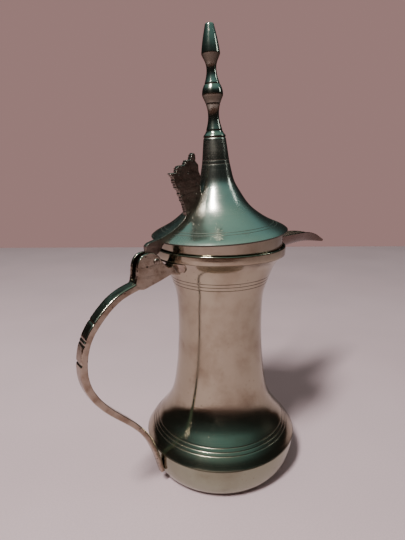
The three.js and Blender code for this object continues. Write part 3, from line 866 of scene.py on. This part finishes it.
# the nodes of a material or of the sky; node() takes a type, its settings and its sockets' values
class Paint:
    def __init__(self, owner):
        owner.use_nodes = True
        self.owner = owner
        self.tree = owner.node_tree
        self.tree.nodes.clear()

    def node(self, kind, settings=None, sockets=None, output=0):
        made = self.tree.nodes.new(kind)
        for key, value in (settings or {}).items():
            if key == "stops":
                ramp = made.color_ramp
                ramp.elements[0].position, ramp.elements[0].color = value[0]
                ramp.elements[1].position, ramp.elements[1].color = value[-1]
                for position, color in value[1:-1]:
                    ramp.elements.new(position).color = color
            else:
                setattr(made, key, value)
        for key, value in (sockets or {}).items():
            if isinstance(value, Wire):
                self.tree.links.new(value.socket, made.inputs[key])
            else:
                made.inputs[key].default_value = value
        return Wire(self, made.outputs[output]) if made.outputs else None

    def mix(self, a, b, factor):  # of two colours
        return self.node("ShaderNodeMix", {"data_type": "RGBA"}, {0: factor, 6: a, 7: b}, 2)

    def noise(self, at, scale, detail=3.0, roughness=0.55):
        return self.node("ShaderNodeTexNoise", {}, {
            "Vector": at, "Scale": scale, "Detail": detail, "Roughness": roughness})

    def pits(self, at, scale):  # distance from scattered points
        return self.node("ShaderNodeTexVoronoi", {}, {"Vector": at, "Scale": scale}, "Distance")

    def stretch(self, at, by):  # a vector times another
        return self.node("ShaderNodeVectorMath", {"operation": "MULTIPLY"}, {0: at, 1: by})

    def mask(self, value, low, high):  # from 0 at low to 1 at high
        return self.node("ShaderNodeMapRange", {"interpolation_type": "SMOOTHSTEP"}, {
            "Value": value, "From Min": low, "From Max": high})

    def attribute(self, name):
        return self.node("ShaderNodeAttribute", {"attribute_name": name}, {}, "Fac")

    # where the pattern lies: the object's own coordinates, for lid pieces turned back to level
    def place(self, onLid):
        at = self.node("ShaderNodeTexCoord", {}, {}, "Object")
        if not onLid:
            return at
        back = Matrix.Rotation(ajar, 3, "Y")
        pin = Matrix.Translation(pinAt * mm).translation
        return self.node("ShaderNodeMapping", {}, {
            "Vector": at, "Location": tuple(pin - back @ pin), "Rotation": (0, ajar, 0)})

    def finish(self, color, roughness, height, strength, distance, metallic):
        bump = self.node("ShaderNodeBump", {}, {"Height": height, "Strength": strength, "Distance": distance})
        shader = self.node("ShaderNodeBsdfPrincipled", {}, {
            "Base Color": color, "Roughness": roughness, "Metallic": metallic, "Normal": bump})
        self.node("ShaderNodeOutputMaterial", {}, {"Surface": shader})
        return self.owner


# spun and polished metal: rings of fine turning marks over radius and height, smudges that
# dull it, tarnish in clouds and in the dips, painted shade darkening the dips, and small dark pits
def spunMetal(name, look, onLid=False):
    p = Paint(bpy.data.materials.new(name))
    at = p.place(onLid)
    radius = p.node("ShaderNodeVectorMath", {"operation": "LENGTH"}, {0: p.stretch(at, (1, 1, 0))}, "Value")
    height = p.node("ShaderNodeSeparateXYZ", {}, {0: at}, "Z")
    east = p.node("ShaderNodeSeparateXYZ", {}, {0: at}, "X")
    turning = p.node("ShaderNodeCombineXYZ", {}, {
        0: radius * look["ringScale"], 1: height * look["ringScale"], 2: east * 25.0})
    rings = p.noise(turning, 1.0, 4.0, 0.7)
    streaks = p.noise(p.stretch(at, (900, 900, 60)), 1.0, 2.0)
    smudge = p.noise(at, look["smudgeScale"], 4.0, 0.6)
    cloud = p.noise(at, look["cloudScale"], 5.0, 0.62)
    pitted = 1 - p.mask(p.pits(at, look["pitScale"]) + 0.25 * smudge, 0.16, 0.26)
    hollow = p.attribute("hollow")
    dull = p.mask(smudge, 0.42, 0.68)
    stained = p.mask(cloud + hollow * 0.5, 0.56, 0.86)
    color = p.mix(look["bright"], look["dull"], dull * 0.75)
    color = p.mix(color, look["tarnish"], (stained * 0.55 + pitted * 0.45).clamped())
    # painted shade: the darkest colour laid into the dips, seams, inner sides and undersides by the hollow
    # mask
    color = p.mix(color, look["paintedShade"], p.mask(hollow, 0.2, 0.95) * 0.92)
    rough = (look["roughness"] + dull * 0.09 + stained * 0.1 + (rings - 0.5) * 0.14
             + (streaks - 0.5) * 0.06 + pitted * 0.12 + hollow * 0.25).clamped()
    relief = rings * 0.35 + smudge * look["dents"] + streaks * 0.08 - pitted * 0.5
    return p.finish(color, rough, relief, look["bump"], 0.0004, 1.0)


# cast and filed metal: a pebbly skin, file marks across it, painted shade in the dips and pits, and polished
# edges
def castMetal(name, look, onLid=False):
    p = Paint(bpy.data.materials.new(name))
    at = p.place(onLid)
    skin = p.noise(at, look["skinScale"], 4.0, 0.6)
    cloud = p.noise(at, look["cloudScale"], 4.0, 0.6)
    filed = p.noise(p.stretch(at, look["fileScale"]), 1.0, 3.0)
    pitted = 1 - p.mask(p.pits(at, look["pitScale"]) + 0.3 * cloud, 0.22, 0.34)
    hollow = p.attribute("hollow")
    worn = p.attribute("worn")
    color = p.mix(look["bright"], look["dull"], p.mask(cloud, 0.38, 0.64))
    color = p.mix(color, look["tarnish"], p.mask(cloud + skin, 0.95, 1.3) * 0.7)
    # painted shade: the darkest colour laid into the dips and the pits
    color = p.mix(color, look["paintedShade"], (p.mask(hollow, 0.12, 0.8) * 0.9 + pitted * 0.5).clamped())
    color = p.mix(color, look["edge"], p.mask(worn, 0.25, 0.95) * look["wear"])
    rough = (look["roughness"] + (skin - 0.5) * 0.2 + (filed - 0.5) * 0.16 + hollow * 0.25 + pitted * 0.1
             - worn * 0.1 * look["wear"]).clamped()
    relief = skin * 0.5 + filed * 0.3 + cloud * 0.5 - pitted * 0.7
    return p.finish(color, rough, relief, look["bump"], 0.0005, 1.0)


def rgb(r, g, b):
    return (r, g, b, 1)


# each look's darkest colour is the painted shade laid into its dips, seams, inner sides and undersides
nickel = {
    "bright": rgb(0.41, 0.365, 0.275), "dull": rgb(0.3, 0.245, 0.175), "tarnish": rgb(0.18, 0.115, 0.075),
    "paintedShade": rgb(0.03, 0.025, 0.02), "roughness": 0.12, "ringScale": 2600.0, "smudgeScale": 38.0,
    "cloudScale": 75.0, "pitScale": 260.0, "dents": 0.9, "bump": 0.09,
}
# a darker, greener copy of the nickel for the pan, painting the dim reflection it shows
panNickel = dict(nickel, bright=rgb(0.31, 0.32, 0.24), dull=rgb(0.25, 0.245, 0.175),
                 tarnish=rgb(0.16, 0.125, 0.08))
# a paler, greyer copy of the nickel for the lid, painting the brighter light it catches from above
lidNickel = dict(nickel, bright=rgb(0.5, 0.48, 0.42), dull=rgb(0.44, 0.41, 0.35),
                 tarnish=rgb(0.27, 0.22, 0.17), roughness=0.19, bump=0.07)
skirtNickel = dict(nickel, bright=rgb(0.3, 0.26, 0.2), dull=rgb(0.22, 0.185, 0.135))
finialNickel = dict(nickel, bright=rgb(0.38, 0.37, 0.31), dull=rgb(0.27, 0.26, 0.21), bump=0.06)
castNickel = {
    "bright": rgb(0.36, 0.3, 0.235), "dull": rgb(0.28, 0.22, 0.165), "tarnish": rgb(0.2, 0.14, 0.1),
    "paintedShade": rgb(0.022, 0.018, 0.015), "edge": rgb(0.62, 0.55, 0.46), "wear": 0.6, "roughness": 0.2,
    "skinScale": 420.0, "cloudScale": 120.0, "fileScale": (220, 1500, 700), "pitScale": 210.0, "bump": 0.35,
}
# the lever's colours are darkened far below the handle's, painting the shade and dark reflection on it; its
# light edge colour and strong wear are partly real rubbing and partly a painted highlight along its edges
leverShadedMetal = {
    "bright": rgb(0.19, 0.15, 0.125), "dull": rgb(0.15, 0.115, 0.095), "tarnish": rgb(0.1, 0.075, 0.06),
    "paintedShade": rgb(0.02, 0.016, 0.014), "edge": rgb(0.46, 0.43, 0.37), "wear": 0.9, "roughness": 0.32,
    "skinScale": 500.0, "cloudScale": 160.0, "fileScale": (900, 300, 900), "pitScale": 240.0, "bump": 0.5,
}
pinIron = {
    "bright": rgb(0.42, 0.36, 0.3), "dull": rgb(0.2, 0.15, 0.12), "tarnish": rgb(0.1, 0.06, 0.04),
    "paintedShade": rgb(0.02, 0.016, 0.014), "edge": rgb(0.6, 0.55, 0.48), "wear": 0.3, "roughness": 0.4,
    "skinScale": 900.0, "cloudScale": 300.0, "fileScale": (1400, 400, 1400), "pitScale": 500.0, "bump": 0.4,
}
# the beak's colours are darkened far below the rest of the cast metal, painting the shade and dark reflection
# on it
beakShadedMetal = dict(castNickel, bright=rgb(0.125, 0.075, 0.055), dull=rgb(0.11, 0.065, 0.048),
                 tarnish=rgb(0.09, 0.055, 0.04), edge=rgb(0.4, 0.32, 0.26), fileScale=(300, 500, 300),
                 roughness=0.27, bump=0.1, wear=0.2)
finishes = {
    ("polished_nickel", "pot"): spunMetal("spunNickelPot", nickel),
    ("polished_nickel", "basePan"): spunMetal("spunNickelPan", panNickel),
    ("polished_nickel", "lid"): spunMetal("spunNickelFinial", finialNickel, True),
    ("polished_nickel", "lidShell"): spunMetal("spunNickelLid", lidNickel, True),
    ("polished_nickel", "lidSkirt"): spunMetal("spunNickelSkirt", skirtNickel, True),
    ("cast_nickel", "pot"): castMetal("castNickel", castNickel),
    ("cast_nickel", "beak"): castMetal("beakShadedMetal", beakShadedMetal),
    ("lever_bronze", "lid"): castMetal("leverShadedMetal", leverShadedMetal, True),
    ("pin_steel", "pot"): castMetal("pinIron", pinIron),
    ("pin_steel", "lid"): castMetal("studIron", pinIron, True),
}

# piece, the frame node that it stands for, its body and its finish
parts = [
    ("bodyShell", "body_shell", "pot", "polished_nickel"),
    ("basePan", "base_pan", "pot", "polished_nickel"),
    ("rimBand", "rim_band", "pot", "polished_nickel"),
    ("beak", "spout_beak", "pot", "cast_nickel"),
    ("handle", "handle", "pot", "cast_nickel"),
    ("hingePin", "hinge_pin", "pot", "pin_steel"),
    ("lidShell", "lid_shell", "lid", "polished_nickel"),
    ("lidSkirt", "lid_skirt", "lid", "polished_nickel"),
    ("thumbLever", "thumb_lever", "lid", "lever_bronze"),
    ("finialCollar", "finial_collar", "lid", "polished_nickel"),
    ("finialNeck", "finial_neck", "lid", "polished_nickel"),
    ("finialBall", "finial_ball", "lid", "polished_nickel"),
    ("finialTip", "finial_tip", "lid", "polished_nickel"),
    ("finialStud", "finial_stud", "lid", "pin_steel"),
    ("finialWasher", "finial_washer", "lid", "pin_steel"),
    ("finialNut", "finial_nut", "lid", "pin_steel"),
]
for name, node, body, slot in parts:
    piece = pieces[name]
    piece.data.materials.append(finishes[slot, name if (slot, name) in finishes else body])
    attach(piece, body)
    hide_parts(node)
print("finishes set")

# angles in degrees; distance, height and lens in mm, for a sensor 36 mm high
view = {"azimuth": 42, "yaw": -2.54, "pitch": 13.85, "roll": 0.7, "distance": 254, "height": 196.9,
        "lens": 80 / 3}


# a direction given with x to the right and y away along the view, turned into the frame
def fromView(x, y, z):
    turn = math.radians(-view["azimuth"])
    c, s = math.cos(turn), math.sin(turn)
    return np.array([c * x - s * y, s * x + c * y, z])


def makeCamera():
    yaw, pitch, roll = (math.radians(view[k]) for k in ("yaw", "pitch", "roll"))
    right = fromView(math.cos(yaw), -math.sin(yaw), 0)
    level = fromView(math.sin(yaw), math.cos(yaw), 0)
    ahead = level * math.cos(pitch) - np.array([0, 0, math.sin(pitch)])
    up = level * math.sin(pitch) + np.array([0, 0, math.cos(pitch)])
    data = bpy.data.cameras.new("camera")
    data.sensor_fit = "VERTICAL"
    data.sensor_height = 36
    data.lens = view["lens"]
    data.clip_start = 0.01
    camera = addObject("camera", data)
    across = right * math.cos(roll) - up * math.sin(roll)
    upright = right * math.sin(roll) + up * math.cos(roll)
    turned = Matrix(np.stack([across, upright, -ahead], 1).tolist()).to_4x4()
    turned.translation = fromView(0, -view["distance"], view["height"]) * mm
    camera.matrix_world = turned
    bpy.context.scene.camera = camera


def stageMaterial(name, color, roughness, mottle):
    p = Paint(bpy.data.materials.new(name))
    at = p.node("ShaderNodeTexCoord", {}, {}, "Object")
    weave = p.noise(at, 900.0, 3.0)
    patch = p.noise(at, 6.0, 2.0)
    dark = tuple(c * (1 - mottle) for c in color[:3]) + (1,)
    shade = p.mix(color, dark, p.mask(weave * 0.5 + patch * 0.5, 0.35, 0.65))
    return p.finish(shade, roughness, weave, 0.08, 0.0004, 0.0)


def stagePlane(name, corners, material):
    mesh = bpy.data.meshes.new(name)
    mesh.from_pydata([tuple(c) for c in corners], [], [(0, 1, 2, 3)])
    mesh.materials.append(material)
    addObject(name, mesh)


stage = {"side": 1.5, "front": 0.55, "back": 0.8}  # edges of the floor, in metres


# a plain floor; past its edges the room's own colour shows
def makeStage():
    floorPaint = stageMaterial("floorPaint", rgb(0.66, 0.49, 0.52), 0.6, 0.1)
    side, front, back = (stage[k] for k in ("side", "front", "back"))
    stagePlane("floor", [fromView(x, y, 0) for x, y in (
        (-side, -front), (side, -front), (side, back), (-side, back))], floorPaint)


# a soft box: a lit rectangle that looks at the pot
def softBox(name, at, size, glow, color):
    data = bpy.data.lights.new(name, "AREA")
    data.shape = "RECTANGLE"
    data.size, data.size_y = size
    data.energy = glow * size[0] * size[1] * math.pi
    data.color = color
    lamp = addObject(name, data)
    place = fromView(*at)
    back = place - np.array([0, 0, 0.1])
    back /= np.linalg.norm(back)
    side = np.cross([0, 0, 1], back)
    side /= np.linalg.norm(side)
    lamp.matrix_world = Matrix(np.stack([side, np.cross(back, side), back], 1).tolist()).to_4x4()
    lamp.matrix_world.translation = place
    lamp.visible_camera = False


lights = {  # place to the right, away and up in metres, size, brightness, colour
    "key": ((-0.34, -0.58, 1.12), (0.16, 0.34), 130.0, (0.98, 1.0, 0.97)),
    "side": ((0.95, 0.1, 0.7), (0.1, 0.34), 8.0, (0.85, 1.0, 0.97)),
}


# a plain colour behind the pot, a plain soft light for matt surfaces, and for reflections a
# room that is warm below the horizon, dark just above it and green overhead
def makeSky():
    world = bpy.data.worlds.new("sky")
    bpy.context.scene.world = world
    sky = Paint(world)
    up = sky.node("ShaderNodeSeparateXYZ", {}, {0: sky.node("ShaderNodeTexCoord", {}, {}, "Generated")}, "Z")
    glow = sky.node("ShaderNodeValToRGB", {"stops": [
        (0.0, rgb(0.14, 0.07, 0.055)), (0.48, rgb(0.14, 0.07, 0.055)), (0.52, rgb(0.016, 0.015, 0.014)),
        (0.66, rgb(0.02, 0.024, 0.023)), (0.74, rgb(0.045, 0.075, 0.075)), (0.83, rgb(0.17, 0.36, 0.36)),
        (1.0, rgb(0.31, 0.57, 0.5))]}, {0: up * 0.5 + 0.5})
    mirrored = sky.node("ShaderNodeBackground", {}, {0: glow})
    soft = sky.node("ShaderNodeBackground", {}, {0: rgb(0.17, 0.135, 0.125)})
    beyond = sky.node("ShaderNodeBackground", {}, {0: rgb(0.34, 0.2, 0.19)})
    scattered = sky.node("ShaderNodeLightPath", {}, {}, "Is Diffuse Ray")
    seen = sky.node("ShaderNodeLightPath", {}, {}, "Is Camera Ray")
    room = sky.node("ShaderNodeMixShader", {}, {0: scattered, 1: mirrored, 2: soft})
    both = sky.node("ShaderNodeMixShader", {}, {0: seen, 1: room, 2: beyond})
    sky.node("ShaderNodeOutputWorld", {}, {0: both})


makeCamera()
makeStage()
for name, light in lights.items():
    softBox(name, *light)
makeSky()
print("stage and lights set")

bpy.context.view_layer.update()
